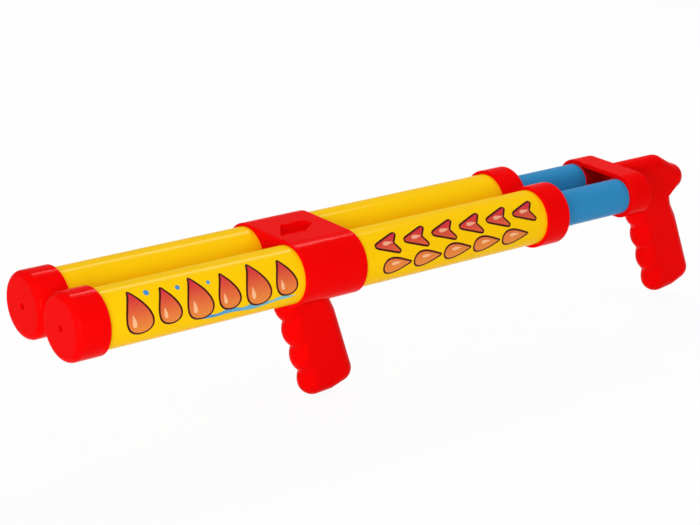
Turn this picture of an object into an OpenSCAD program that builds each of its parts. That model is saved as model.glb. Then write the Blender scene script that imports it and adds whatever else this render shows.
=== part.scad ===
// Twin-barrel pump water squirter: two tubes are filled and emptied together by one sliding handle.
// The nozzles point to -X, the pump handle is at +X, and both pistol grips hang down.
// The origin is under the middle of the squirter, level with the lowest point of its grips.

/* [Barrels] */
// Outside diameter of each barrel tube
barrel_d = 40; // [34:0.5:48]
// Wall of each barrel tube
barrel_wall = 2; // [1.5:0.1:3]
// Length of each barrel tube
barrel_len = 407; // [360:1:480]

/* [Nozzle caps and rear collars] */
// Wall of the caps and collars round the barrels
sleeve_wall = 2.7; // [2.2:0.1:4]
// Gap between the two caps, and between the two collars
cap_gap = 0.6; // [0.4:0.1:3]
// Thickness of a cap's front wall
cap_face = 4; // [3:0.5:7]
// Length of barrel held inside a cap
cap_hold = 19.3; // [14:0.1:28]
// Rounding of a cap's front edge
cap_round = 4.5; // [2:0.5:6]
// Diameter of the nozzle hole
nozzle_d = 4; // [2:0.5:8]
// Thickness of a collar's rear wall
collar_face = 4; // [3:0.5:7]
// Length of barrel held inside a collar
collar_hold = 17.5; // [12:0.5:26]
// Rounding of a collar's rear edge
collar_round = 2; // [1:0.5:4]

/* [Saddle] */
// Distance from the front of the barrels to the saddle
saddle_pos = 170.5; // [120:0.5:220]
// Length of the saddle along the barrels
saddle_len = 51.5; // [44:0.5:70]
// Wall of the saddle round the barrels
saddle_wall = 2.3; // [1.8:0.1:4]
// Distance from the saddle's front to the middle of the recess in its top
recess_pos = 21.5; // [20:0.5:28]
// Length of the recess from tip to tip
recess_len = 33; // [28:0.5:38]
// Length of the recess's two sides along the barrels
recess_side = 20; // [16:0.5:22]
// Width of the recess
recess_w = 18.5; // [12:0.5:19]
// Depth of the recess
recess_depth = 5.5; // [4:0.5:6]

/* [Pump] */
// Outside diameter of each pump rod
rod_d = 26.4; // [24:0.1:28]
// Wall of each pump rod
rod_wall = 1.6; // [1.2:0.1:2.5]
// Length of rod that shows between a collar and the yoke at rest
rod_out = 70; // [50:0.5:120]
// Length of each piston
piston_len = 22; // [16:0.5:30]
// Room in front of each piston at rest
nozzle_room = 43; // [20:0.5:48]
// Thickness of the rubber piston seals
seal_d = 3.4; // [2.5:0.1:4.5]
// Length of piston spigot and of yoke peg held inside a rod
rod_hold = 14; // [10:0.5:16]

/* [Yoke] */
// Length of the yoke along the rods
yoke_len = 20.5; // [19:0.5:28]
// Wall of the yoke round the rods
yoke_rim = 3.3; // [2.8:0.1:5]
// Thickness of the yoke's rear wall
yoke_back = 4; // [3:0.5:5]
// Wall between a rod's socket and the well in the middle of the yoke
socket_wall = 1.3; // [1:0.1:2]

/* [Grips] */
// Width of both grips from side to side
grip_w = 21; // [18:0.5:24]
// Depth of both grips from the finger lobes to the back
grip_depth = 42.5; // [38:0.5:50]
// Distance from one finger lobe to the next
lobe_pitch = 21.2; // [19:0.1:24]
// Radius of a finger lobe
lobe_r = 15.5; // [14:0.5:20]
// Extra drop of the heel at the rear of a grip's foot
heel_drop = 3.5; // [0:0.5:6]
// Rake of the front grip
front_rake = 20; // [10:0.5:28]
// Distance from the saddle's front to the front grip's upper lobe
front_grip_pos = 24.5; // [20:0.5:34]
// Drop from the saddle's underside to the front grip's upper lobe
front_grip_drop = 9.5; // [8:0.5:16]
// Rake of the rear grip
rear_rake = 23; // [14:0.5:28]
// Distance from the yoke's back to the rear grip's upper lobe
rear_grip_pos = 34; // [30:0.5:40]
// Drop from the yoke's underside to the rear grip's upper lobe
rear_grip_drop = 10; // [8:0.5:16]

/* [Handle head] */
// Rise of the head's ridge above the yoke
head_rise = 0; // [0:0.5:4]
// Length of the head's level ridge behind the yoke
ridge_len = 41; // [34:0.5:44]
// Distance from the yoke's back to the middle of the knob
knob_pos = 60.5; // [56:0.5:70]
// Drop from the rods' axes to the middle of the knob
knob_drop = 3.8; // [0:0.2:6]

/* [Fasteners and fits] */
// Diameter of the thread-forming screws
screw_d = 3; // [2.5:0.1:3.5]
// Diameter of the bolt that holds the front grip to the saddle
bolt_d = 3.5; // [3:0.1:4]
// Radial clearance of a rod in its collar
rod_clearance = 0.3; // [0.2:0.05:0.6]
// Radial clearance of a piston in its barrel
piston_clearance = 0.4; // [0.3:0.05:0.8]
// Radial clearance of a seal in its barrel
seal_clearance = 0.1; // [0.05:0.05:0.3]
// Gap at glued and screwed joints
glue_gap = 0.1; // [0.05:0.05:0.2]
// Radial squeeze of the saddle on its barrels, and of a seal on its piston
press_squeeze = 0.05; // [0.02:0.01:0.1]

/* [Hidden] */
$fn = 64;

LEFT = -1;
RIGHT = 1;
FRONT = 0;
REAR = 1;
eps = 0.5;

// Stations along the squirter, measured from the front face of the caps
barrel_x = cap_face;
cap_len = cap_face + cap_hold;
collar_x = barrel_x + barrel_len - collar_hold;
collar_len = collar_hold + collar_face;
saddle_x = barrel_x + saddle_pos;
yoke_x = collar_x + collar_len + rod_out;
yoke_back_x = yoke_x + yoke_len;
rod_end_x = yoke_back_x - yoke_back;
piston_x = barrel_x + nozzle_room;
rod_x = piston_x + piston_len;

// Radii and heights, measured from the barrels' axes
barrel_r = barrel_d / 2;
bore_r = barrel_r - barrel_wall;
sleeve_r = barrel_r + sleeve_wall;
pitch = 2 * sleeve_r + cap_gap;
saddle_r = barrel_r + saddle_wall;
rod_r = rod_d / 2;
rod_bore_r = rod_r - rod_wall;
yoke_r = rod_r + yoke_rim;
screw_r = screw_d / 2;
bolt_r = bolt_d / 2;

// Screw heads and bosses follow the screw
head_r = 1.9 * screw_r;
head_h = 1.3 * screw_r;
boss_wall = 1.4;

// Grip sections are flat-sided with fully rounded edges
edge_r = grip_w / 2;
lobe_inset = lobe_r - edge_r;
back_w = grip_depth - lobe_r - edge_r;
lobe_count = 4;
notch_flat = 1.4;
lobe_half = asin((lobe_pitch - notch_flat) / 2 / lobe_r);
foot_u = (lobe_count - 1) * lobe_pitch;
foot_tilt = atan(heel_drop / (back_w + lobe_inset));
foot_bulge = 1.4;
bulge_turn = atan(2 * foot_bulge / (back_w + lobe_inset));
web_hollow = 1.8;
web_from_u = -0.08 * lobe_pitch;
web_to_u = 0.35 * lobe_pitch;
back_from_u = 0.9 * lobe_pitch;
shell = 2.6;
pocket_h = edge_r - shell;
pocket_grow = 3;
arc_steps = 8;
layer_steps = 6;
layer_turn = 80;

// Upper lobe of each grip, as [x, z]
rakes = [front_rake, rear_rake];
lobe_origins = [
    [saddle_x + front_grip_pos, -saddle_r - front_grip_drop],
    [yoke_back_x + rear_grip_pos, -yoke_r - rear_grip_drop]];

// A grip point from its own axes, u down the rake and w to the back, to [x, z]
function raked(u, w, g) = [u * sin(rakes[g]) + w * cos(rakes[g]), w * sin(rakes[g]) - u * cos(rakes[g])];
function grip_point(u, w, g) = lobe_origins[g] + raked(u, w, g);

// A rim entry is the point that an edge is rounded about and the direction in which it faces.
// Directions on a grip turn from the back (0) through the foot (90) to the front (180).
function grip_rim(u, w, turn, g) = [grip_point(u, w, g), raked(sin(turn), cos(turn), g)];
function head_rim(p, turn) = [p, [cos(turn), sin(turn)]];

function lobe_rim(i, low, g) = [for (k = [0:arc_steps])
    let (turn = low + (180 + lobe_half - low) * k / arc_steps)
    grip_rim(i * lobe_pitch + lobe_inset * sin(turn), lobe_inset * cos(turn), turn, g)];

// Foot of a grip: heel, bulging sole and toe
function foot_rim(g) = concat(
    [for (k = [0:arc_steps])
        let (turn = (90 + foot_tilt - bulge_turn) * k / arc_steps)
        grip_rim(foot_u + heel_drop, back_w, turn, g)],
    [grip_rim(foot_u + heel_drop / 2 + foot_bulge, (back_w - lobe_inset) / 2, 90 + foot_tilt, g)],
    [for (k = [0:arc_steps - 1])
        let (toe = 90 + foot_tilt + bulge_turn)
        grip_rim(foot_u, -lobe_inset, toe + (180 - toe) * k / arc_steps, g)]);

// Hand hollow at the top of the back, heel to toe, then the lobes upwards
function below_rim(g) = concat(
    [grip_rim(web_to_u, back_w - web_hollow, 0, g), grip_rim(back_from_u, back_w, 0, g)],
    foot_rim(g),
    lobe_rim(lobe_count - 1, 180, g),
    [for (i = [lobe_count - 2:-1:0]) each lobe_rim(i, 180 - lobe_half, g)]);

// The front grip ends in a flat top against the saddle's underside
function top_rim(w, facing) = let (u = (w * sin(front_rake) - front_grip_drop) / cos(front_rake))
    [[grip_point(u, w, FRONT).x, -saddle_r], [facing, 0]];
front_rim = concat(
    [top_rim(back_w - web_hollow, 1)],
    below_rim(FRONT),
    [top_rim(-lobe_inset * cos(lobe_half), -1)]);

// The rear grip has a head that meets the yoke. Its back slopes down, with a slight dip, to a round knob.
ridge_z = yoke_r + head_rise - edge_r;
throat_rise = 1;
throat_z = edge_r - yoke_r + throat_rise;
ridge_end = [yoke_back_x + ridge_len, ridge_z];
knob = [yoke_back_x + knob_pos, -knob_drop];
slope_turn = atan((knob.x - ridge_end.x) / (ridge_end.y - knob.y));
slope_dip = 0.75;
dip_share = 0.62;
dip = ridge_end + dip_share * (knob - ridge_end) - slope_dip * [cos(slope_turn), sin(slope_turn)];
knob_under = -67;
head_top = concat(
    [head_rim([yoke_back_x, ridge_z], 90)],
    [for (k = [0:2]) head_rim(ridge_end, 90 + (slope_turn - 90) * k / 2)],
    [head_rim(dip, slope_turn)],
    [for (k = [0:arc_steps]) head_rim(knob, slope_turn + (knob_under - slope_turn) * k / arc_steps)]);
rear_rim = concat(
    head_top,
    [grip_rim(web_from_u, back_w - web_hollow / 4, 0, REAR)],
    below_rim(REAR),
    [head_rim([yoke_back_x, throat_z], -90)]);

// Outline of a rim at a distance r from the points that it is rounded about
function outline(rim, r) = [for (e = rim) e[0] + r * e[1]];

// The whole squirter is moved so that its origin lies under the middle of its length
length_x = max([for (p = outline(rear_rim, edge_r)) p.x]);
low_z = min([for (p = concat(outline(front_rim, edge_r), outline(rear_rim, edge_r))) p.y]);
module placed() {
    translate([-length_x / 2, 0, -low_z]) children();
}

// Shapes that repeat

// Turns a shape that stands on Z to lie along +X on the axis of one barrel
module on_barrel(side, x) {
    translate([x, side * pitch / 2, 0]) rotate([0, 90, 0]) children();
}

// Extrudes a section drawn in Y and Z along +X
module along_x(x, len) {
    translate([x, 0, 0]) rotate([90, 0, 90]) linear_extrude(len) children();
}

// Extrudes a section drawn in X and Z from y = 0 to the left
module to_left(h) {
    rotate([90, 0, 0]) linear_extrude(h) children();
}

// Round-ended section that holds both barrels or both rods
module twin_section(r) {
    for (side = [LEFT, RIGHT]) translate([side * pitch / 2, 0]) circle(r);
    square([pitch, 2 * r], center = true);
}

// Half profile of a cup with its closed end at y = 0 and a rounded outer edge there
module cup_profile(r, len, edge) {
    difference() {
        square([r, len]);
        translate([r - edge, 0]) difference() {
            translate([0, -eps]) square([edge + eps, edge + eps]);
            translate([0, edge]) circle(edge);
        }
    }
}

// Pan-head screw along +Z with the underside of its head at z = 0
module pan_screw(r, len) {
    cylinder(r = r, h = len);
    translate([0, 0, -head_h]) cylinder(r = head_r, h = head_h);
}

// Left half of a grip from the middle plane to its flat side: a closed skin that runs on past both
// planes, cut off level there
module grip_half(rim) {
    n = len(rim);
    turns = [for (k = [0:layer_steps]) layer_turn * k / layer_steps];
    layers = concat(
        [[edge_r, -eps]],
        [for (t = turns) [edge_r * cos(t), edge_r * sin(t) / sin(layer_turn)]],
        [[edge_r * cos(layer_turn), edge_r + eps]]);
    points = [for (c = layers) each [for (p = outline(rim, c[0])) [p.x, -c[1], p.y]]];
    last = len(layers) - 1;
    sides = [for (k = [0:last - 1], j = [0:n - 1])
        let (a = k * n + j, b = k * n + (j + 1) % n)
        each [[a + n, a, b], [a + n, b, b + n]]];
    start = [for (j = [n - 1:-1:0]) j];
    end = [for (j = [0:n - 1]) last * n + j];
    difference() {
        polyhedron(points, concat(sides, [start, end]));
        for (y = [0, -edge_r - 2 * eps])
            translate([0, y, 2 * low_z]) cube([2 * length_x, 2 * eps, -4 * low_z]);
    }
}

// Screws that join the grip halves, as [x, z]
upper_screw_w = 5;
lower_screw_u = 2.6 * lobe_pitch;
lower_screw_w = 6;
front_screw_points = [
    grip_point(lobe_pitch, upper_screw_w, FRONT),
    grip_point(lower_screw_u, lower_screw_w, FRONT)];
rear_screw_points = [
    [yoke_back_x + ridge_len, 0],
    grip_point(lobe_pitch, upper_screw_w, REAR),
    grip_point(lower_screw_u, lower_screw_w, REAR)];
head_sink = 2.5;
screw_seat = edge_r - head_h - head_sink;
boss_end = 1;
screw_reach = pocket_h - boss_end;

module at_screws(points) {
    for (p = points) translate([p.x, 0, p.y]) children();
}

// Joining screw from the right side, with its head sunk in the right half
module grip_screw() {
    translate([0, screw_seat, 0]) rotate([90, 0, 0]) pan_screw(screw_r, screw_seat + screw_reach);
}

// Boss of the left half, which the thread bites into
module left_boss() {
    rotate([90, 0, 0]) cylinder(r = screw_r + boss_wall, h = pocket_h + eps);
}

// Hole of the left half
module left_hole() {
    translate([0, eps, 0]) rotate([90, 0, 0])
        cylinder(r = screw_r + glue_gap, h = screw_reach + eps + glue_gap);
}

// Boss of the right half, which carries the head
module right_boss() {
    rotate([-90, 0, 0]) cylinder(r = head_r + glue_gap + boss_wall, h = pocket_h + eps);
}

// Stepped hole of the right half
module right_hole() {
    translate([0, -eps, 0]) rotate([-90, 0, 0]) cylinder(r = screw_r + glue_gap, h = edge_r + 2 * eps);
    translate([0, screw_seat, 0]) rotate([-90, 0, 0]) cylinder(r = head_r + glue_gap, h = edge_r);
}

// Hollowed half of a grip, with its bosses for the joining screws
module hollow_half(rim, points, right) {
    difference() {
        union() {
            mirror([0, right ? 1 : 0, 0]) difference() {
                grip_half(rim);
                translate([0, eps, 0]) to_left(pocket_h + eps) children();
            }
            at_screws(points) if (right) right_boss(); else left_boss();
        }
        at_screws(points) if (right) right_hole(); else left_hole();
    }
}

// Barrels, caps and collars

module barrel(side) {
    placed() color("gold") on_barrel(side, barrel_x) difference() {
        cylinder(r = barrel_r, h = barrel_len);
        translate([0, 0, -eps]) cylinder(r = bore_r, h = barrel_len + 2 * eps);
    }
}

module nozzle_cap(side) {
    placed() color("red") on_barrel(side, 0) difference() {
        rotate_extrude() cup_profile(sleeve_r, cap_len, cap_round);
        translate([0, 0, cap_face]) cylinder(r = barrel_r + glue_gap, h = cap_hold + eps);
        translate([0, 0, -eps]) cylinder(d = nozzle_d, h = cap_face + 2 * eps);
    }
}

module rear_collar(side) {
    placed() color("red") on_barrel(side, collar_x) difference() {
        translate([0, 0, collar_len]) mirror([0, 0, 1])
            rotate_extrude() cup_profile(sleeve_r, collar_len, collar_round);
        translate([0, 0, -eps]) cylinder(r = barrel_r + glue_gap, h = collar_hold + eps);
        cylinder(r = rod_r + rod_clearance, h = collar_len + eps);
    }
}

// Saddle and front grip

bolt_x = saddle_x + recess_pos;
bolt_head_r = 2 * bolt_r;
bolt_sink = 6;
recess_z = saddle_r - recess_depth;
bolt_seat_z = recess_z - bolt_sink;
shoulder_back = 2.3;
tongue_len = 18;
tongue_w = 12;
tongue_h = 3;
nut_w = 2 * bolt_d;
nut_h = 0.8 * bolt_d;
nut_z = -saddle_r - 2 * nut_h - tongue_h;
bolt_tip_z = nut_z - nut_h - bolt_d;

// Slanting six-sided pocket in the saddle's top, the same when turned half round
module recess_outline() {
    corners = [
        [recess_len / 2, recess_w / 2],
        [recess_len / 2 - recess_side, recess_w / 2],
        [shoulder_back - recess_len / 2, -recess_w / 12]];
    polygon(concat(corners, [for (c = corners) -c]));
}

// Tongue of the grip, or its slot in the saddle when a gap is given
module tongue(gap) {
    translate([bolt_x - tongue_len / 2 - gap, -tongue_w / 2 - gap, -saddle_r - eps])
        cube([tongue_len + 2 * gap, tongue_w + 2 * gap, tongue_h + gap + eps]);
}

module bolt_hole() {
    translate([bolt_x, 0, bolt_tip_z - glue_gap])
        cylinder(r = bolt_r + glue_gap, h = bolt_seat_z - bolt_tip_z + 2 * glue_gap);
}

// Nut, or its slot when a gap is given: the bolt draws the nut up against the top of its slot
module nut_block(gap) {
    translate([bolt_x - nut_w / 2 - gap, -nut_w / 2 - gap, nut_z - gap])
        cube([nut_w + 2 * gap, nut_w + 2 * gap, nut_h + gap]);
}

module saddle() {
    placed() color("red") difference() {
        along_x(saddle_x, saddle_len) twin_section(saddle_r);
        for (side = [LEFT, RIGHT]) on_barrel(side, saddle_x - eps)
            cylinder(r = barrel_r - press_squeeze, h = saddle_len + 2 * eps);
        translate([bolt_x, 0, recess_z]) linear_extrude(recess_depth + eps) recess_outline();
        translate([bolt_x, 0, bolt_seat_z]) cylinder(r = bolt_head_r + glue_gap, h = bolt_sink + eps);
        tongue(glue_gap);
        bolt_hole();
    }
}

module saddle_bolt() {
    placed() color("silver") translate([bolt_x, 0, bolt_seat_z]) rotate([180, 0, 0]) {
        cylinder(r = bolt_r, h = bolt_seat_z - bolt_tip_z);
        translate([0, 0, -bolt_r]) cylinder(r = bolt_head_r, h = bolt_r);
    }
}

module saddle_nut() {
    placed() color("silver") difference() {
        nut_block(0);
        bolt_hole();
    }
}

// Hollow of the front grip, kept clear of the nut
module front_pocket() {
    intersection() {
        polygon(outline(front_rim, pocket_grow));
        translate([saddle_x - saddle_len, 2 * low_z])
            square([3 * saddle_len, bolt_tip_z - shell - 2 * low_z]);
    }
}

module front_grip(right) {
    placed() color("red") difference() {
        union() {
            hollow_half(front_rim, front_screw_points, right) front_pocket();
            intersection() {
                tongue(0);
                translate([saddle_x, right ? 0 : -grip_w, -2 * saddle_r])
                    cube([saddle_len, grip_w, 2 * saddle_r]);
            }
        }
        bolt_hole();
        nut_block(glue_gap);
    }
}

module front_grip_screws() {
    placed() color("silver") at_screws(front_screw_points) grip_screw();
}

// Pump rods, pistons and seals

groove_side = 0.2;
groove_w = seal_d + 2 * groove_side;
groove_r = bore_r - seal_clearance - seal_d + press_squeeze;
groove_x = piston_len / 3;
rod_screw_x = rod_end_x - rod_hold / 2;

module rod_screw_hole(side, r) {
    translate([rod_screw_x, side * pitch / 2, -yoke_r - eps]) cylinder(r = r, h = yoke_r + eps);
}

module pump_rod(side) {
    placed() color("steelblue") difference() {
        on_barrel(side, rod_x) difference() {
            cylinder(r = rod_r, h = rod_end_x - rod_x);
            translate([0, 0, -eps]) cylinder(r = rod_bore_r, h = rod_end_x - rod_x + 2 * eps);
        }
        rod_screw_hole(side, screw_r + glue_gap);
    }
}

module piston(side) {
    placed() color("whitesmoke") on_barrel(side, piston_x) difference() {
        union() {
            cylinder(r = bore_r - piston_clearance, h = piston_len);
            cylinder(r = rod_bore_r - glue_gap, h = piston_len + rod_hold);
        }
        translate([0, 0, groove_x]) difference() {
            cylinder(r = bore_r, h = groove_w);
            translate([0, 0, -eps]) cylinder(r = groove_r, h = groove_w + 2 * eps);
        }
    }
}

module piston_seal(side) {
    placed() color("dimgray") on_barrel(side, piston_x + groove_x + groove_w / 2)
        rotate_extrude() translate([bore_r - seal_clearance - seal_d / 2, 0]) circle(d = seal_d);
}

// Yoke and rear grip

socket_r = rod_r + glue_gap;
yoke_screw_drop = 5;
yoke_screw_bite = 12;
yoke_screw_len = yoke_back + yoke_screw_bite;

// The screws go in amid each grip half, or nearer the middle where their heads would touch the sockets
head_to_rod = socket_r + socket_wall + head_r + glue_gap;
yoke_screw_y = min(edge_r / 2, pitch / 2 - sqrt(pow(head_to_rod, 2) - pow(yoke_screw_drop, 2)));

module at_yoke_screws() {
    for (side = [LEFT, RIGHT])
        translate([rod_end_x, side * yoke_screw_y, -yoke_screw_drop]) rotate([0, 90, 0]) children();
}

// Section of the well between the rods' sockets, which lightens the yoke
module well_section() {
    difference() {
        square([pitch, 2 * rod_r], center = true);
        for (side = [LEFT, RIGHT]) translate([side * pitch / 2, 0]) circle(socket_r + socket_wall);
    }
}

module yoke() {
    placed() color("red") difference() {
        union() {
            difference() {
                along_x(yoke_x, yoke_len) twin_section(yoke_r);
                for (side = [LEFT, RIGHT]) on_barrel(side, yoke_x - eps)
                    cylinder(r = socket_r, h = yoke_len - yoke_back + eps);
                along_x(yoke_x - eps, yoke_len - yoke_back + eps) well_section();
            }
            for (side = [LEFT, RIGHT]) on_barrel(side, rod_end_x - rod_hold)
                cylinder(r = rod_bore_r - glue_gap, h = rod_hold + eps);
        }
        at_yoke_screws() translate([0, 0, -eps])
            cylinder(r = screw_r + glue_gap, h = yoke_back + 2 * eps);
        for (side = [LEFT, RIGHT]) {
            rod_screw_hole(side, screw_r + glue_gap);
            translate([rod_screw_x, side * pitch / 2, -yoke_r - eps])
                cylinder(r = head_r + glue_gap, h = head_h + eps);
        }
    }
}

module rod_screws() {
    placed() color("silver") for (side = [LEFT, RIGHT])
        translate([rod_screw_x, side * pitch / 2, head_h - yoke_r]) pan_screw(screw_r, yoke_r - head_h);
}

module yoke_screws() {
    placed() color("silver") at_yoke_screws() pan_screw(screw_r, yoke_screw_len);
}

// Hollow of the rear grip, kept clear of the screws from the yoke
module rear_pocket() {
    difference() {
        polygon(outline(rear_rim, pocket_grow));
        translate([yoke_x, 2 * low_z]) square([yoke_len + yoke_screw_len, -3 * low_z]);
    }
}

module rear_grip(right) {
    placed() color("red") difference() {
        hollow_half(rear_rim, rear_screw_points, right) rear_pocket();
        at_yoke_screws() translate([0, 0, yoke_back - eps])
            cylinder(r = screw_r + glue_gap, h = yoke_screw_bite + eps + glue_gap);
    }
}

module rear_grip_screws() {
    placed() color("silver") at_screws(rear_screw_points) grip_screw();
}

barrel(LEFT);  // left_barrel
barrel(RIGHT);  // right_barrel
nozzle_cap(LEFT);  // left_nozzle_cap
nozzle_cap(RIGHT);  // right_nozzle_cap
rear_collar(LEFT);  // left_rear_collar
rear_collar(RIGHT);  // right_rear_collar
saddle();
saddle_bolt();
saddle_nut();
front_grip(false);  // front_grip_left
front_grip(true);  // front_grip_right
front_grip_screws();
pump_rod(LEFT);  // left_pump_rod
pump_rod(RIGHT);  // right_pump_rod
piston(LEFT);  // left_piston
piston(RIGHT);  // right_piston
piston_seal(LEFT);  // left_piston_seal
piston_seal(RIGHT);  // right_piston_seal
yoke();
rod_screws();
yoke_screws();
rear_grip(false);  // rear_grip_left
rear_grip(true);  // rear_grip_right
rear_grip_screws();
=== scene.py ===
# %% [markdown]
# # A twin-barrel pump water squirter
# The squirter is two yellow tubes side by side. A red saddle holds them over a pistol grip, and a
# second grip at the rear pushes and pulls two blue rods. The construction is already there as a
# frame of exact solids. This lesson dresses it: each plain solid that shows is modelled again with
# soft edges and a real finish.

# %% Load the frame
import math
import bmesh
import bpy
from mathutils import Matrix, Vector


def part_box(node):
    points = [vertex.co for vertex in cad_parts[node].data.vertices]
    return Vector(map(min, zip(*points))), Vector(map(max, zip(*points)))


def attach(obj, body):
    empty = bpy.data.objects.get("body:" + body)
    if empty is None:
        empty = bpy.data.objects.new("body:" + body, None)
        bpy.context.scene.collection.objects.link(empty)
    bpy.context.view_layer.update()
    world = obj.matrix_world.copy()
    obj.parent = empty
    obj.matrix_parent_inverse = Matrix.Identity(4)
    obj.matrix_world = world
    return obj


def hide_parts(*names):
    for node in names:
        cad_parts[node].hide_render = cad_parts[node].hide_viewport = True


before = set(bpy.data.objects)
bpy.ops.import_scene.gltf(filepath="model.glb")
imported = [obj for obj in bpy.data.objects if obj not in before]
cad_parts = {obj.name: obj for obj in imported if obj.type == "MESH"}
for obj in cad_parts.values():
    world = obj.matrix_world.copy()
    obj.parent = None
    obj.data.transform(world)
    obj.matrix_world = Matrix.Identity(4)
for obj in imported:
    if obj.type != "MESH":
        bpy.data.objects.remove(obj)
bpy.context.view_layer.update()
MM = 0.001
print("solids in the frame:", len(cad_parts))

# %% [markdown]
# ## Where things are
# Every length along the squirter is counted from the front face of its nozzle caps, and every
# height from the barrels' axes, in millimetres. The main sizes are read from the boxes of the
# solids, so the new pieces land on them.

# %% Measure the frame
cap_low, cap_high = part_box("left_nozzle_cap")
NOSE = cap_low.x
AXIS = (cap_low.z + cap_high.z) / 2
LEFT_Y = (cap_low.y + cap_high.y) / 2
SIDES = {"left": LEFT_Y, "right": -LEFT_Y}


def at_x(x):
    return NOSE + x * MM


def at_z(z):
    return AXIS + z * MM


def ends(node):
    low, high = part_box(node)
    return (low.x - NOSE) / MM, (high.x - NOSE) / MM


def radius(node):
    low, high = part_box(node)
    return (high.z - low.z) / 2 / MM


print("nose at", round(NOSE, 4), "axis height", round(AXIS, 4), "left barrel at y", round(LEFT_Y, 4))

# %% [markdown]
# ## The camera
# The photograph was taken with a long lens from the front left and a little above. Its place and
# turn were worked out from the straight edges and round ends of the tubes, so the camera only
# needs those numbers: millimetres from the nose and the axis, and degrees.

# %% Camera
CAMERA_X, CAMERA_Y, CAMERA_Z = -617.57, -1059.4, 476.51
CAMERA_TURN = (70.3017, -1.8315, -38.5607)
LENS_MM, SENSOR_MM = 107.45, 36.0

lens = bpy.data.cameras.new("camera")
lens.sensor_width = SENSOR_MM
lens.lens = LENS_MM
camera = bpy.data.objects.new("camera", lens)
camera.location = (at_x(CAMERA_X), CAMERA_Y * MM, at_z(CAMERA_Z))
camera.rotation_euler = [math.radians(a) for a in CAMERA_TURN]
bpy.context.scene.collection.objects.link(camera)
bpy.context.scene.camera = camera
print("camera", [round(c, 3) for c in camera.location], "lens", lens.lens)

# %% [markdown]
# ## Helpers for working as by hand
# Blender's operators act on whatever is selected, so each piece starts with nothing selected, and
# faces or edges are picked by where they lie. Small helpers clear the selection, enter edit mode,
# pick and extrude.

# %% Selection helpers


def clear():
    if bpy.context.object and bpy.context.object.mode != "OBJECT":
        bpy.ops.object.mode_set(mode="OBJECT")
    bpy.ops.object.select_all(action="DESELECT")


def focus(piece):
    clear()
    piece.select_set(True)
    bpy.context.view_layer.objects.active = piece


def edit(piece):
    focus(piece)
    bpy.ops.object.mode_set(mode="EDIT")


def pick(piece, kind, test):
    bpy.ops.mesh.select_mode(type=kind)
    bpy.ops.mesh.select_all(action="DESELECT")
    shape = bmesh.from_edit_mesh(piece.data)
    parts = {"VERT": shape.verts, "EDGE": shape.edges, "FACE": shape.faces}[kind]
    for part in parts:
        part.select = test(part)
    shape.select_flush_mode()
    bmesh.update_edit_mesh(piece.data)


def push(x=0.0, y=0.0, z=0.0):
    bpy.ops.mesh.extrude_region_move(TRANSFORM_OT_translate={"value": (x, y, z)})


def face_out():
    bpy.ops.mesh.select_all(action="SELECT")
    bpy.ops.mesh.normals_make_consistent(inside=False)


# %% [markdown]
# Three tests find the ends of a lying piece: the edges round an end, the flat faces that look along
# the barrels, and among those the discs, which have many corners where the rings round them have
# four to a face.

# %% Tests for ends
NEAR = 1e-5
FACING = 0.9


def end_edges(x):
    return lambda edge: all(abs(v.co.x - x) < NEAR for v in edge.verts)


def end_face(x, way):
    return lambda face: face.normal.x * way > FACING and abs(face.calc_center_median().x - x) < NEAR


def discs_at(*places):
    return lambda face: (len(face.verts) > 4 and abs(face.normal.x) > FACING
                         and any(abs(face.calc_center_median().x - x) < NEAR for x in places))


# %% [markdown]
# A finished piece has its modifiers applied, is shaded smooth except at its corners, and has its
# place in its mesh. Cuts are made with a cutter that is removed again, and a narrow bevel softens
# what is left.

# %% Finishing helpers


def apply_modifiers(piece):
    focus(piece)
    for modifier in list(piece.modifiers):
        bpy.ops.object.modifier_apply(modifier=modifier.name)


def cut_with(piece, cutter):
    cut = piece.modifiers.new("cut", "BOOLEAN")
    cut.operation = "DIFFERENCE"
    cut.solver = "EXACT"
    cut.object = cutter
    apply_modifiers(piece)
    bpy.data.objects.remove(cutter)


def soften(piece, width, segments=3, corner=50.0):
    bevel = piece.modifiers.new("soft edges", "BEVEL")
    bevel.width = width * MM
    bevel.segments = segments
    bevel.limit_method = "ANGLE"
    bevel.angle_limit = math.radians(corner)
    apply_modifiers(piece)


def finish(piece, corner=35.0):
    focus(piece)
    bpy.ops.object.transform_apply(location=True, rotation=True, scale=True)
    bpy.ops.object.shade_smooth_by_angle(angle=math.radians(corner))
    even = piece.modifiers.new("even", "WEIGHTED_NORMAL")
    even.keep_sharp = True
    apply_modifiers(piece)
    print(piece.name, "faces:", len(piece.data.polygons))
    return piece


# %% [markdown]
# ## Turned blanks
# Barrels, caps, collars and rods are all round, so they start as a cylinder that lies along the
# squirter. With 96 sides its facets are too flat to see.

# %% Lying cylinder
ROUND = 96


def lying_cylinder(name, x_from, x_to, reach, y):
    clear()
    bpy.ops.mesh.primitive_cylinder_add(
        vertices=ROUND, radius=reach * MM, depth=(x_to - x_from) * MM,
        location=((at_x(x_from) + at_x(x_to)) / 2, y, AXIS), rotation=(0, math.pi / 2, 0))
    piece = bpy.context.object
    piece.name = piece.data.name = name
    bpy.ops.object.transform_apply(location=True, rotation=True, scale=True)
    return piece


# %% [markdown]
# ## Barrels
# A barrel is a length of extruded plastic tube. It could be one cylinder cut out of another, but
# two operators give the same tube with nothing but clean four-sided faces: both ends of a cylinder
# are inset by the wall, and a bridge between the two inner faces opens it from end to end.

# %% Barrels
BARREL = ends("left_barrel")
BARREL_R = radius("left_barrel")
BARREL_WALL = 2.0


def tube(name, span, reach, wall, y):
    piece = lying_cylinder(name, span[0], span[1], reach, y)
    edit(piece)
    pick(piece, "FACE", lambda f: abs(f.normal.x) > FACING)
    bpy.ops.mesh.inset(thickness=wall * MM, use_individual=True)
    bpy.ops.mesh.bridge_edge_loops()
    return finish(piece)


barrels = {side: tube(side + "_barrel_tube", BARREL, BARREL_R, BARREL_WALL, y)
           for side, y in SIDES.items()}

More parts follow.
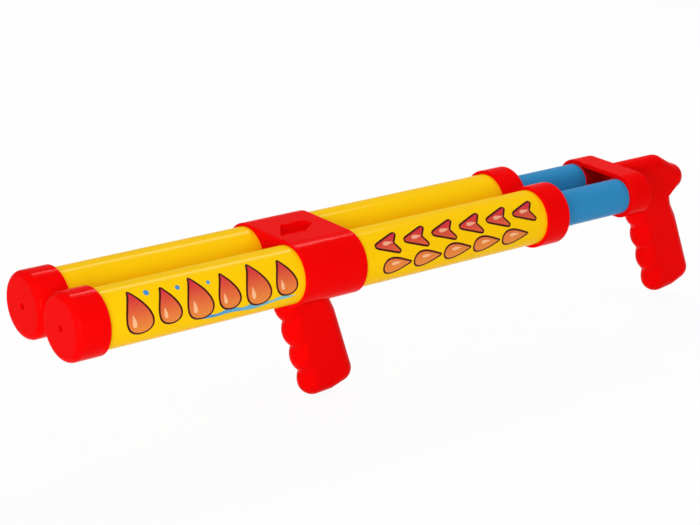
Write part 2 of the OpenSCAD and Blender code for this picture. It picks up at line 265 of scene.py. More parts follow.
# %% [markdown]
# ## Nozzle caps
# A cap is a deep moulded cup that is glued over the front of a barrel, with a small hole for the
# jet. A profile could be spun round the axis instead, but working on the ends of a cylinder keeps
# each size in sight. The front edge is a wide bevel. The rear face is inset and pushed in to make
# the socket, and a bridge between the socket's floor and the front face makes the nozzle.

# %% Nozzle caps
SLEEVE_R = radius("left_nozzle_cap")
CAP_LEN = ends("left_nozzle_cap")[1]
CAP_FACE = BARREL[0]
CAP_ROUND = 4.5
NOZZLE_R = 2.0
NOZZLE_LEAD = 0.5
GLUE_GAP = 0.1
SOCKET_R = BARREL_R + GLUE_GAP
MOUTH_ROUND = 0.5


def nozzle_cap(name, y):
    piece = lying_cylinder(name, 0, CAP_LEN, SLEEVE_R, y)
    edit(piece)
    pick(piece, "EDGE", end_edges(at_x(0)))
    bpy.ops.mesh.bevel(offset=CAP_ROUND * MM, segments=10, affect="EDGES")
    pick(piece, "FACE", end_face(at_x(0), -1))
    bpy.ops.mesh.inset(thickness=(SLEEVE_R - CAP_ROUND - NOZZLE_R - NOZZLE_LEAD) * MM)
    bpy.ops.mesh.inset(thickness=NOZZLE_LEAD * MM, depth=-NOZZLE_LEAD * MM)
    pick(piece, "FACE", end_face(at_x(CAP_LEN), 1))
    bpy.ops.mesh.inset(thickness=(SLEEVE_R - SOCKET_R) * MM)
    push(x=(CAP_FACE - CAP_LEN) * MM)
    bpy.ops.mesh.inset(thickness=(SOCKET_R - NOZZLE_R) * MM)
    pick(piece, "FACE", discs_at(at_x(NOZZLE_LEAD), at_x(CAP_FACE)))
    bpy.ops.mesh.bridge_edge_loops()
    pick(piece, "EDGE", end_edges(at_x(CAP_LEN)))
    bpy.ops.mesh.bevel(offset=MOUTH_ROUND * MM, segments=3, affect="EDGES")
    return finish(piece)


caps = {side: nozzle_cap(side + "_cap", y) for side, y in SIDES.items()}

# %% [markdown]
# ## Rear collars
# A collar closes the rear of a barrel and guides its rod, which runs in it with a little play. It
# is the same kind of cup as a cap, so it is made by the same steps, turned round and with a wide
# hole.

# %% Rear collars
COLLAR = ends("left_rear_collar")
COLLAR_ROUND = 2.0
ROD_R = radius("left_pump_rod")
RUN_GAP = 0.3
GUIDE_R = ROD_R + RUN_GAP


def rear_collar(name, y):
    piece = lying_cylinder(name, COLLAR[0], COLLAR[1], SLEEVE_R, y)
    edit(piece)
    pick(piece, "EDGE", end_edges(at_x(COLLAR[1])))
    bpy.ops.mesh.bevel(offset=COLLAR_ROUND * MM, segments=8, affect="EDGES")
    pick(piece, "FACE", end_face(at_x(COLLAR[1]), 1))
    bpy.ops.mesh.inset(thickness=(SLEEVE_R - COLLAR_ROUND - GUIDE_R) * MM)
    pick(piece, "FACE", end_face(at_x(COLLAR[0]), -1))
    bpy.ops.mesh.inset(thickness=(SLEEVE_R - SOCKET_R) * MM)
    push(x=(BARREL[1] - COLLAR[0]) * MM)
    bpy.ops.mesh.inset(thickness=(SOCKET_R - GUIDE_R) * MM)
    pick(piece, "FACE", discs_at(at_x(BARREL[1]), at_x(COLLAR[1])))
    bpy.ops.mesh.bridge_edge_loops()
    pick(piece, "EDGE", end_edges(at_x(COLLAR[0])))
    bpy.ops.mesh.bevel(offset=MOUTH_ROUND * MM, segments=3, affect="EDGES")
    return finish(piece)


collars = {side: rear_collar(side + "_collar", y) for side, y in SIDES.items()}

# %% [markdown]
# ## Pump rods
# A rod is a length of thinner tube that carries a piston inside its barrel. It is the same shape
# as a barrel, so the same function makes it, with another radius and wall.

# %% Pump rods
ROD = ends("left_pump_rod")
ROD_WALL = 1.6
rods = {side: tube(side + "_rod_tube", ROD, ROD_R, ROD_WALL, y) for side, y in SIDES.items()}

# %% [markdown]
# ## Round-ended blocks
# The saddle and the yoke have the same kind of section: two round ends and a flat top and bottom.
# A box joined to two cylinders would leave seams. A cylinder whose left half is moved to the left
# barrel and whose right half is moved to the right one stays a single clean loop.

# %% Round-ended block


def round_ended(name, span, reach):
    piece = lying_cylinder(name, span[0], span[1], reach, 0.0)
    edit(piece)
    bpy.ops.mesh.select_all(action="SELECT")
    bpy.ops.transform.rotate(value=math.pi / ROUND, orient_axis="X",
                             center_override=(at_x(span[0]), 0, AXIS))
    for way in (-1, 1):
        pick(piece, "VERT", lambda v: v.co.y * way > 0)
        bpy.ops.transform.translate(value=(0, -way * LEFT_Y, 0))
    clear()
    return piece


# %% [markdown]
# ## Saddle
# The saddle is a moulded sleeve round both barrels. Its bores and recess cross faces that don't
# line up with them, so they are cut with booleans, and every cutter runs a little past the face
# that it opens. The slanting recess in the top is cut with a six-sided block whose corners are put
# in place one by one, and a deeper round hole in it takes the bolt's head.

# %% Saddle
SADDLE = ends("saddle")
SADDLE_R = radius("saddle")
SADDLE_ROUND = 0.7
PRESS_GAP = 0.02
PAST = 5.0
RECESS_BACK = 21.5
RECESS_X = SADDLE[0] + RECESS_BACK
RECESS_LEN, RECESS_SIDE, RECESS_W, RECESS_DEPTH = 33.0, 20.0, 18.5, 5.5
SHOULDER_BACK, SHOULDER_SHIFT = 2.3, 3.0
SHOULDER_Y = -RECESS_W / 12
BOLT_HEAD_R, BOLT_SINK = 3.5, 6.0
HEAD_GAP = 0.1
BLANK_R = 0.01
SMALL_ROUND = 48


def recess_block():
    half = [(RECESS_LEN / 2, RECESS_W / 2, 0), (RECESS_LEN / 2 - RECESS_SIDE, RECESS_W / 2, 0),
            (SHOULDER_BACK - RECESS_LEN / 2, SHOULDER_Y, SHOULDER_SHIFT)]
    corners = ([(x + shift, y) for x, y, shift in half]
               + [(shift - x, -y) for x, y, shift in half])
    clear()
    bpy.ops.mesh.primitive_cylinder_add(vertices=6, radius=BLANK_R, depth=2 * RECESS_DEPTH * MM)
    block = bpy.context.object
    for i, vertex in enumerate(block.data.vertices):
        x, y = corners[i // 2]
        vertex.co = (at_x(RECESS_X + x), y * MM, at_z(SADDLE_R) + vertex.co.z)
    edit(block)
    face_out()
    clear()
    return block


saddle = round_ended("saddle_shell", SADDLE, SADDLE_R)
for y in SIDES.values():
    bore = lying_cylinder("bore", SADDLE[0] - PAST, SADDLE[1] + PAST, BARREL_R + PRESS_GAP, y)
    cut_with(saddle, bore)
cut_with(saddle, recess_block())
clear()
bpy.ops.mesh.primitive_cylinder_add(
    vertices=SMALL_ROUND, radius=(BOLT_HEAD_R + HEAD_GAP) * MM, depth=2 * BOLT_SINK * MM,
    location=(at_x(RECESS_X), 0, at_z(SADDLE_R - RECESS_DEPTH)))
cut_with(saddle, bpy.context.object)
soften(saddle, SADDLE_ROUND)
finish(saddle)

# %% [markdown]
# ## Yoke
# The yoke joins the two rods. Each rod sits in a round socket with a thin wall of its own, and the
# space between the sockets is hollowed out so that the moulding cools evenly. The ends are
# bevelled while they are still plain, because a bevel after the cuts would meet the thin walls.
# Two counterbores underneath take the rods' screws.

# %% Yoke
YOKE = ends("yoke")
YOKE_R = radius("yoke")
YOKE_ROUNDS = (0.9, 1.0)
YOKE_FLOOR = ROD[1]
ROD_SOCKET_R = ROD_R + GLUE_GAP
WELL_WALL = 1.3
ROD_SCREW_INSET = 7.0
ROD_SCREW_X = YOKE_FLOOR - ROD_SCREW_INSET
HEAD_R, HEAD_H = 2.85, 1.95


def well_block():
    clear()
    bpy.ops.mesh.primitive_cube_add(
        size=1, location=((at_x(YOKE[0] - PAST) + at_x(YOKE_FLOOR)) / 2, 0, AXIS),
        scale=((YOKE_FLOOR - YOKE[0] + PAST) * MM, -2 * LEFT_Y, 2 * ROD_R * MM))
    block = bpy.context.object
    for y in SIDES.values():
        socket = lying_cylinder("socket", YOKE[0] - 2 * PAST, YOKE[1], ROD_SOCKET_R + WELL_WALL, y)
        cut_with(block, socket)
    return block


yoke = round_ended("yoke_cup", YOKE, YOKE_R)
edit(yoke)
for x, width in zip(YOKE, YOKE_ROUNDS):
    pick(yoke, "EDGE", end_edges(at_x(x)))
    bpy.ops.mesh.bevel(offset=width * MM, segments=4, affect="EDGES")
for y in SIDES.values():
    cut_with(yoke, lying_cylinder("socket", YOKE[0] - PAST, YOKE_FLOOR, ROD_SOCKET_R, y))
    clear()
    bpy.ops.mesh.primitive_cylinder_add(
        vertices=32, radius=(HEAD_R + HEAD_GAP) * MM, depth=2 * HEAD_H * MM,
        location=(at_x(ROD_SCREW_X), y, at_z(-YOKE_R)))
    cut_with(yoke, bpy.context.object)
cut_with(yoke, well_block())
finish(yoke)

# %% [markdown]
# The well looks far deeper in colour than the outside, because little light reaches it. Little
# light reaches it, and the core that leaves such a hollow is seldom polished, but the photograph
# can't tell how much each of them does. That shade is painted into its colour as well. A second
# material could colour it, but a mark on its faces lets one finish serve the whole yoke.

# %% Mark the well
LIP = 1.0
# Faces marked here get painted shade in the yoke's red.
well = yoke.data.attributes.new("well", "FLOAT", "FACE")
for face in yoke.data.polygons:
    x, y, z = face.center
    inside = (at_x(YOKE[0] + LIP) < x < at_x(YOKE_FLOOR) + NEAR and abs(y) < abs(LEFT_Y)
              and abs(z - AXIS) < ROD_R * MM + NEAR)
    well.data[face.index].value = float(inside)
print("faces in the well:", sum(mark.value > 0.5 for mark in well.data))

# %% [markdown]
# ## Grips
# Each grip is two moulded halves that meet in the middle plane. Their sections are fully rounded,
# and a bevel that wide would fail at the finger notches. So a half is drawn as a run of rings: the
# first ring is the whole outline, and each next one is further out to the side and drawn in along
# the way that the outline faces. An outline is kept as pairs: the point that the edge is rounded
# about, and the direction in which it faces. A place on a grip is u down its length and w across
# it, from the finger side to the back.

# %% Grip outlines
EDGE_R = 10.5
LOBE_PITCH = 21.2
LOBE_R = 15.5
LOBE_INSET = LOBE_R - EDGE_R
GRIP_DEPTH = 42.5
BACK_W = GRIP_DEPTH - LOBE_R - EDGE_R
HEEL_DROP = 3.5
FOOT_BULGE = 1.4
WEB_HOLLOW = 1.8
HOLLOW_U, BACK_U = 0.35 * LOBE_PITCH, 0.9 * LOBE_PITCH
NOTCH_FLAT = 1.4
LOBE_HALF = math.degrees(math.asin((LOBE_PITCH - NOTCH_FLAT) / 2 / LOBE_R))
FOOT_U = 3 * LOBE_PITCH
ARC = 14


def turned(degrees):
    return math.sin(math.radians(degrees)), math.cos(math.radians(degrees))


class Grip:
    def __init__(self, rake, lobe_x, lobe_z):
        self.sin, self.cos = turned(rake)
        self.place = (lobe_x, lobe_z)

    def along(self, u, w):
        return u * self.sin + w * self.cos, w * self.sin - u * self.cos

    def rim(self, u, w, turn):
        x, z = self.along(u, w)
        down, back = turned(turn)
        return (self.place[0] + x, self.place[1] + z), self.along(down, back)

    def lobe(self, i, low):
        turns = [low + (180 + LOBE_HALF - low) * k / ARC for k in range(ARC + 1)]
        return [self.rim(i * LOBE_PITCH + LOBE_INSET * turned(t)[0], LOBE_INSET * turned(t)[1], t)
                for t in turns]

    def foot(self):
        tilt = math.degrees(math.atan(HEEL_DROP / (BACK_W + LOBE_INSET)))
        bulge = math.degrees(math.atan(2 * FOOT_BULGE / (BACK_W + LOBE_INSET)))
        heel, toe = 90 + tilt - bulge, 90 + tilt + bulge
        middle_u, middle_w = FOOT_U + HEEL_DROP / 2 + FOOT_BULGE, (BACK_W - LOBE_INSET) / 2
        return ([self.rim(FOOT_U + HEEL_DROP, BACK_W, heel * k / ARC) for k in range(ARC + 1)]
                + [self.rim(middle_u, middle_w, 90 + tilt)]
                + [self.rim(FOOT_U, -LOBE_INSET, toe + (180 - toe) * k / ARC) for k in range(ARC)])

    def below(self):
        back = [self.rim(HOLLOW_U, BACK_W - WEB_HOLLOW, 0), self.rim(BACK_U, BACK_W, 0)]
        lobes = [entry for i in (2, 1, 0) for entry in self.lobe(i, 180 - LOBE_HALF)]
        return back + self.foot() + self.lobe(3, 180) + lobes


# %% [markdown]
# The front grip ends in a flat top against the saddle's underside.

# %% Outline of the front grip
FRONT_RAKE = 20.0
FRONT_LOBE_BACK = 24.5
FRONT_DROP = 9.5
front = Grip(FRONT_RAKE, SADDLE[0] + FRONT_LOBE_BACK, -SADDLE_R - FRONT_DROP)


def front_top(w, facing):
    u = (w * front.sin - FRONT_DROP) / front.cos
    return (front.place[0] + front.along(u, w)[0], -SADDLE_R), (facing, 0.0)


front_rim = ([front_top(BACK_W - WEB_HOLLOW, 1.0)] + front.below()
             + [front_top(-LOBE_INSET * turned(LOBE_HALF)[1], -1.0)])
print("front grip outline points:", len(front_rim))

# %% [markdown]
# The rear grip carries a head that meets the yoke. Its back slopes down, with a slight dip, to a
# round knob that stops the hand from sliding up.

# %% Outline of the rear grip
REAR_RAKE = 23.0
REAR_LOBE_BACK = 34.0
REAR_DROP = 10.0
rear = Grip(REAR_RAKE, YOKE[1] + REAR_LOBE_BACK, -YOKE_R - REAR_DROP)
RIDGE = Vector((41.0, YOKE_R - EDGE_R))
RIDGE_ARC = 6
KNOB = Vector((60.5, -3.8))
KNOB_UNDER = -67.0
KNOB_FOOT_U = -0.08 * LOBE_PITCH
SLOPE = math.degrees(math.atan((KNOB.x - RIDGE.x) / (RIDGE.y - KNOB.y)))
DIP_SHARE, DIP_DEPTH = 0.62, 0.75
DIP = RIDGE + DIP_SHARE * (KNOB - RIDGE) - DIP_DEPTH * Vector(turned(90 - SLOPE))
THROAT_RISE = 1.0


def head(place, turn):
    up, back = turned(turn)
    return (YOKE[1] + place[0], place[1]), (back, up)


rear_rim = ([head((0, RIDGE.y), 90)]
            + [head(RIDGE, 90 + (SLOPE - 90) * k / RIDGE_ARC) for k in range(RIDGE_ARC + 1)]
            + [head(DIP, SLOPE)]
            + [head(KNOB, SLOPE + (KNOB_UNDER - SLOPE) * k / (2 * ARC)) for k in range(2 * ARC + 1)]
            + [rear.rim(KNOB_FOOT_U, BACK_W - WEB_HOLLOW / 4, 0)] + rear.below()
            + [head((0, EDGE_R - YOKE_R + THROAT_RISE), -90)])
print("rear grip outline points:", len(rear_rim))

# %% [markdown]
# A ring is extruded from the one before it and each of its points is then moved to its own place.
# The last ring is filled to make the flat side and the first to make the joint face. The first
# ring stands back by a hair, which leaves the parting line that every two-part moulding shows.

# %% Grip half
RINGS = 12
FIRST_TURN, LAST_TURN = 1.5, 80.0
SEAM = 0.2


def ring_points(rim, reach, side):
    return [Vector((at_x(p[0] + reach * n[0]), side * MM, at_z(p[1] + reach * n[1])))
            for p, n in rim]


def grip_half(name, rim, way):
    turns = [FIRST_TURN + (LAST_TURN - FIRST_TURN) * k / RINGS for k in range(RINGS + 1)]
    before = ring_points(rim, EDGE_R - SEAM, 0.0)
    clear()
    bpy.ops.mesh.primitive_circle_add(vertices=len(rim), radius=BLANK_R)
    piece = bpy.context.object
    piece.name = piece.data.name = name
    for vertex, place in zip(piece.data.vertices, before):
        vertex.co = place
    edit(piece)
    bpy.ops.mesh.select_all(action="SELECT")
    for turn in turns:
        side = way * EDGE_R * turned(turn)[0] / turned(LAST_TURN)[0]
        after = ring_points(rim, EDGE_R * turned(turn)[1], side)
        bpy.ops.mesh.extrude_edges_move(TRANSFORM_OT_translate={"value": (0, 0, 0)})
        shape = bmesh.from_edit_mesh(piece.data)
        for vertex in [v for v in shape.verts if v.select]:
            nearest = min(range(len(before)), key=lambda j: (before[j] - vertex.co).length_squared)
            vertex.co = after[nearest]
        bmesh.update_edit_mesh(piece.data)
        before = after
    bpy.ops.mesh.edge_face_add()
    pick(piece, "EDGE", lambda e: e.is_boundary)
    bpy.ops.mesh.edge_face_add()
    face_out()
    clear()
    return piece


# %% [markdown]
# The screws that join the halves go in from the right, so the right halves get counterbores.

# %% Four grip halves
SCREW_SINK = 2.5
SCREW_SEAT = EDGE_R - HEAD_H - SCREW_SINK
UPPER_SCREW = (LOBE_PITCH, 5.0)
LOWER_SCREW = (2.6 * LOBE_PITCH, 6.0)
GRIP_CORNER = 40.0


def grip_screw_places(grip):
    spots = [grip.rim(u, w, 0)[0] for u, w in (UPPER_SCREW, LOWER_SCREW)]
    return [(at_x(x), at_z(z)) for x, z in spots]


front_screws = grip_screw_places(front)
rear_screws = [(at_x(YOKE[1] + RIDGE.x), AXIS)] + grip_screw_places(rear)
grips = {"front_grip": (front_rim, front_screws), "rear_grip": (rear_rim, rear_screws)}
halves = {}
for title, (rim, spots) in grips.items():
    for side, way in (("left", -1), ("right", 1)):
        half = grip_half(title + "_half_" + side, rim, way)
        for x, z in spots if side == "right" else []:
            clear()
            bpy.ops.mesh.primitive_cylinder_add(
                vertices=SMALL_ROUND, radius=(HEAD_R + HEAD_GAP) * MM, depth=EDGE_R * MM,
                location=(x, (SCREW_SEAT + EDGE_R / 2) * MM, z), rotation=(math.pi / 2, 0, 0))
            cut_with(half, bpy.context.object)
        halves[title + "_" + side] = finish(half, GRIP_CORNER)

# %% [markdown]
# ## Screws
# A pan-head screw is modelled once: a short cylinder whose upper edge is bevelled into a dome, a
# cross cut into it, and a shank below. Every screw is a copy with its own mesh, turned to the side
# that it goes in from. The threads are hidden in the plastic, so the shanks stay plain.

# %% One screw
DOME = 0.42
CROSS_LEN, CROSS_W, CROSS_DEEP = 1.1, 0.28, 1.1


def pan_screw(name, head_r, head_h, shank_r, length):
    clear()
    bpy.ops.mesh.primitive_cylinder_add(vertices=SMALL_ROUND, radius=head_r * MM, depth=head_h * MM,
                                        location=(0, 0, head_h / 2 * MM))
    screw = bpy.context.object
    screw.name = screw.data.name = name
    bpy.ops.object.transform_apply(location=True, rotation=True, scale=True)
    edit(screw)
    pick(screw, "EDGE", lambda e: all(abs(v.co.z - head_h * MM) < NEAR / 10 for v in e.verts))
    bpy.ops.mesh.bevel(offset=DOME * head_r * MM, segments=5, affect="EDGES")
    pick(screw, "FACE", lambda f: f.normal.z < -FACING)
    bpy.ops.mesh.inset(thickness=(head_r - shank_r) * MM)
    push(z=-length * MM)
    for turn in (0, math.pi / 2):
        clear()
        bpy.ops.mesh.primitive_cube_add(
            size=1, location=(0, 0, head_h * MM), rotation=(0, 0, turn),
            scale=(CROSS_LEN * head_r * MM, CROSS_W * head_r * MM, CROSS_DEEP * head_h * MM))
        cut_with(screw, bpy.context.object)
    return screw


def copy_to(screw, name, place, turn):
    copy = screw.copy()
    copy.data = screw.data.copy()
    copy.name = copy.data.name = name
    bpy.context.scene.collection.objects.link(copy)
    copy.matrix_world = Matrix.Translation(place) @ turn
    return copy


def joined(name, pieces):
    clear()
    for piece in pieces:
        piece.select_set(True)
    bpy.context.view_layer.objects.active = pieces[0]
    bpy.ops.object.join()
    pieces[0].name = pieces[0].data.name = name
    return finish(pieces[0])


# %% [markdown]
# The head of a screw model points up, so it is turned to face right for the grips, down for the
# rods and forward for the yoke. The screws of one node are joined into one piece, as its solids
# are one node.

# %% Sets of screws
FACE_RIGHT = Matrix.Rotation(-math.pi / 2, 4, "X")
FACE_DOWN = Matrix.Rotation(math.pi, 4, "X")
FACE_FRONT = Matrix.Rotation(-math.pi / 2, 4, "Y")
SHANK_R = 1.5
SCREW_BITE = 6.9
YOKE_SCREW_DROP, YOKE_SCREW_LEN = 5.0, 16.0

grip_screw = pan_screw("grip_screw", HEAD_R, HEAD_H, SHANK_R, SCREW_SEAT + SCREW_BITE)
screws = {}
for title, spots in (("front_grip_screws", front_screws), ("rear_grip_screws", rear_screws)):
    screws[title] = joined(title + "_set", [
        copy_to(grip_screw, title, Vector((x, SCREW_SEAT * MM, z)), FACE_RIGHT) for x, z in spots])
bpy.data.objects.remove(grip_screw)

rod_screw = pan_screw("rod_screw", HEAD_R, HEAD_H, SHANK_R, YOKE_R - HEAD_H)
screws["rod_screws"] = joined("rod_screws_set", [
    copy_to(rod_screw, "rod_screw", Vector((at_x(ROD_SCREW_X), y, at_z(HEAD_H - YOKE_R))), FACE_DOWN)
    for y in SIDES.values()])
bpy.data.objects.remove(rod_screw)

yoke_screw = pan_screw("yoke_screw", HEAD_R, HEAD_H, SHANK_R, YOKE_SCREW_LEN)
screws["yoke_screws"] = joined("yoke_screws_set", [
    copy_to(yoke_screw, "yoke_screw",
            Vector((at_x(YOKE_FLOOR), y * MM, at_z(-YOKE_SCREW_DROP))), FACE_FRONT)
    for y in (-EDGE_R / 2, EDGE_R / 2)])
bpy.data.objects.remove(yoke_screw)

# %% [markdown]
# The bolt in the saddle's recess pulls the front grip up against the saddle. It is a bigger screw
# of the same kind that stays upright, and its length is read from its solid.

# %% Saddle bolt
bolt_low, bolt_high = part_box("saddle_bolt")
BOLT_HEAD_H = BOLT_HEAD_R / 2
bolt = pan_screw("saddle_bolt_model", BOLT_HEAD_R, BOLT_HEAD_H, BOLT_HEAD_R / 2,
                 (bolt_high.z - bolt_low.z) / MM - BOLT_HEAD_H)
bolt.location = (at_x(RECESS_X), 0, bolt_high.z - BOLT_HEAD_H * MM)
screws["saddle_bolt"] = finish(bolt)

# %% [markdown]
# ## Print on the left barrel
# Toys like this carry a bright print on one barrel. This one is a plain water design: a row of
# leaning drops with bubbles and a ripple at the front, and darts over streaks at the rear. An
# image could be wrapped on, but films of ink keep their edges sharp from any distance. Each shape
# is drawn flat, as a distance along the barrel and a distance round it, cut into narrow strips,
# and then wrapped onto the tube.

# %% Wrapping a flat shape
PRINT_TURN = 16.0
FILM = 0.05
STRIP = 1.2


def ink_film(name, outline, layer):
    clear()
    bpy.ops.mesh.primitive_circle_add(vertices=len(outline), radius=BLANK_R, fill_type="NGON")
    piece = bpy.context.object
    piece.name = piece.data.name = name
    for vertex, (along, around) in zip(piece.data.vertices, outline):
        vertex.co = (along * MM, around * MM, 0)
    edit(piece)
    low, high = min(p[1] for p in outline), max(p[1] for p in outline)
    for k in range(1, int((high - low) / STRIP) + 1):
        bpy.ops.mesh.select_all(action="SELECT")
        bpy.ops.mesh.bisect(plane_co=(0, (low + k * STRIP) * MM, 0), plane_no=(0, 1, 0))
    clear()
    reach = (BARREL_R + FILM * layer) * MM
    for vertex in piece.data.vertices:
        up, out = turned(PRINT_TURN + math.degrees(vertex.co.y / (BARREL_R * MM)))
        vertex.co = (NOSE + vertex.co.x, LEFT_Y - reach * out, AXIS + reach * up)
    thick = piece.modifiers.new("film", "SOLIDIFY")
    thick.thickness = FILM * MM
    thick.offset = -1.0
    apply_modifiers(piece)
    return piece


def grown(outline, by):
    made = []
    for i, (x, y) in enumerate(outline):
        ahead, behind = outline[(i + 1) % len(outline)], outline[i - 1]
        along = Vector((ahead[0] - behind[0], ahead[1] - behind[1])).normalized()
        made.append((x + by * along.y, y - by * along.x))
    return made


# %% [markdown]
# A drop is a circle drawn out to a tip, a bubble is a plain disc, and a streak is a drop that lies
# along the barrel. Each comes from a formula, so its curve has as many points as it needs.

# %% Drops, bubbles and streaks
DROP_FULL, DROP_TAPER = 0.62, 1.5


def drop(x, y, height, width, lean, steps=44):
    points = []
    for k in range(steps):
        t = 2 * math.pi * k / steps
        a = -DROP_FULL * width * math.sin(t) * math.sin(t / 2) ** DROP_TAPER
        b = 0.5 * height * math.cos(t)
        points.append((x + a + lean * b, y + b))
    return points


def disc(x, y, reach, steps=24):
    turns = [2 * math.pi * k / steps for k in range(steps)]
    return [(x + reach * math.cos(t), y + reach * math.sin(t)) for t in turns]


def streak(x, y, length, width):
    return [(x + b, y - a) for a, b in drop(0, 0, length, width, 0.0)]


print("points of a drop:", len(drop(0, 0, 20, 10, 0)), "and of a bubble:", len(disc(0, 0, 2)))

# %% [markdown]
# A dart is four points with rounded corners. A ripple is a band between two waves that runs out at
# its ends.

# %% Darts and ripple
DART_NOTCH = 0.74
CREST, CREST_SWING, CREST_RUN = 1.5, 1.3, 3.4
TROUGH_SWING, TROUGH_RUN = 0.9, 6.0
RIPPLE_FADE = 0.6


def rounded(corners, cut=0.22, steps=5):
    points = []
    for i, corner in enumerate(corners):
        around = (corner, corners[i - 1], corners[(i + 1) % len(corners)])
        here, back, ahead = (Vector(p) for p in around)
        start, end = here.lerp(back, cut), here.lerp(ahead, cut)
        for k in range(steps + 1):
            t = k / steps
            points.append(tuple(start.lerp(here, t).lerp(here.lerp(end, t), t)))
    return points


def dart(x, y, length, height):
    tail, notch = x + length, x + DART_NOTCH * length
    return rounded([(x, y), (tail, y - height / 2), (notch, y), (tail, y + height / 2)])


def ripple(x_from, x_to, base, depth, steps=70):
    run = [x_from + (x_to - x_from) * k / steps for k in range(steps + 1)]

    def fade(x):
        return math.sin(math.pi * (x - x_from) / (x_to - x_from)) ** RIPPLE_FADE

    top = [(x, base + fade(x) * (CREST + CREST_SWING * math.sin((x - x_from) / CREST_RUN)))
           for x in run]
    low = [(x, base - fade(x) * (depth + TROUGH_SWING * math.sin((x - x_from) / TROUGH_RUN)))
           for x in run[1:-1]]
    return low + top[::-1]


print("points of a dart:", len(dart(0, 0, 20, 10)))

# %% [markdown]
# The drops fill the barrel in front of the saddle, a large and a small one in turn, each with a
# glint. The bubbles rise between the first ones, and the ripple runs under the last.

# %% Front of the print
DROPS, BUBBLES = 6, 3
FIRST_DROP, DROP_PITCH = 45.0, 22.8
DROP_Y, DROP_H, DROP_W, DROP_LEAN = 1.5, 28.0, 20.5, -0.16
SMALL_DROP = 0.84
GLINT_FRONT, GLINT_DOWN, GLINT_H, GLINT_W = 3.6, 5.0, 9.0, 3.6
BUBBLE_R, BUBBLE_Y, BUBBLE_GAP = 2.0, 12.8, 0.44
BUBBLE_FALL, BUBBLE_SHRINK = 1.4, 0.3
RIPPLE_SPAN, RIPPLE_Y, RIPPLE_DEPTH = (88.0, 168.0), -12.6, 2.8

drops, glints = [], []
for k in range(DROPS):
    x, size = FIRST_DROP + DROP_PITCH * k, SMALL_DROP if k % 2 else 1.0
    drops.append(drop(x, DROP_Y, DROP_H * size, DROP_W * size, DROP_LEAN))
    glints.append(drop(x - GLINT_FRONT * size, DROP_Y - GLINT_DOWN * size,
                       GLINT_H * size, GLINT_W * size, DROP_LEAN))
bubbles = [disc(FIRST_DROP + DROP_PITCH * (k + BUBBLE_GAP), BUBBLE_Y - BUBBLE_FALL * k,
                BUBBLE_R - BUBBLE_SHRINK * k) for k in range(BUBBLES)]
water = ripple(RIPPLE_SPAN[0], RIPPLE_SPAN[1], RIPPLE_Y, RIPPLE_DEPTH)
print("drops:", len(drops), "bubbles:", len(bubbles))

# %% [markdown]
# Behind the saddle, a row of darts flies over a row of streaks, with a glint on each.

# %% Rear of the print
DARTS, STREAKS = 6, 5
FIRST_DART, DART_PITCH = 235.0, 25.2
DART_Y, DART_LEN, DART_H = 7.4, 22.5, 15.0
FIRST_STREAK, STREAK_PITCH = 254.0, 27.2
STREAK_Y, STREAK_LEN, STREAK_W = -8.4, 23.0, 11.5
GLINT_LEN = 9.0
DART_GLINT = (13.0, 0.6, 3.2)
STREAK_GLINT = (-1.0, 1.6, 2.8)

darts, streaks = [], []
for k in range(DARTS):
    x = FIRST_DART + DART_PITCH * k
    darts.append(dart(x, DART_Y, DART_LEN, DART_H))
    back, up, width = DART_GLINT
    glints.append(streak(x + back, DART_Y + up, GLINT_LEN, width))
for k in range(STREAKS):
    x = FIRST_STREAK + STREAK_PITCH * k
    streaks.append(streak(x, STREAK_Y, STREAK_LEN, STREAK_W))
    back, up, width = STREAK_GLINT
    glints.append(streak(x + back, STREAK_Y + up, GLINT_LEN, width))
print("darts:", len(darts), "streaks:", len(streaks), "glints:", len(glints))

# %% [markdown]
# The films lie on each other in the order of printing: blue, dark outline, fill and glint. The
# outline is the whole shape grown by its width, and the fill covers its middle.

# %% Films of ink
OUTLINE = 1.4
shapes = drops + darts + streaks
outlines = [grown(shape, OUTLINE) for shape in shapes]
layers = {"print_ripple": [water] + bubbles, "print_outline": outlines,
          "print_fill": shapes, "print_glint": glints}
prints = {}
for layer, (name, flat) in enumerate(layers.items(), start=1):
    prints[name] = joined(name, [ink_film(name, shape, layer) for shape in flat])

# %% [markdown]
# ## Finishes
# Colours are written as they look, in sRGB, and one function turns them into the linear values that
# the shader works with. One more small function adds a node with its settings and links.

# %% Node helpers


def linear(colour):
    parts = [int(colour[i:i + 2], 16) / 255 for i in (1, 3, 5)]
    return [c / 12.92 if c <= 0.04045 else ((c + 0.055) / 1.055) ** 2.4 for c in parts] + [1.0]


def add(material, kind, settings=None, links=None, **fields):
    node = material.node_tree.nodes.new(kind)
    for field, value in fields.items():
        setattr(node, field, value)
    for socket, value in (settings or {}).items():
        node.inputs[socket].default_value = value
    for socket, source in (links or {}).items():
        material.node_tree.links.new(source, node.inputs[socket])
    return node


def new_finish(name):
    material = bpy.data.materials.new(name)
    material.use_nodes = True
    return material, material.node_tree.nodes["Principled BSDF"]


# %% [markdown]
# ### Moulded and extruded plastic
# All the plastics share one recipe. A slow noise moves the colour a little, as pigment does; a
# finer one varies the gloss; and a bump gives the surface that the tool leaves. On a moulding that
# is an even orange peel about a millimetre across. On an extruded tube it is drawn out into lines
# along the tube.

# %% Plastic recipe
PIGMENT_MM = 30.0
GLOSS_LESS, GLOSS_MORE = 0.05, 0.07
PEEL_STRENGTH = 0.35
PLASTIC_IOR = 1.5


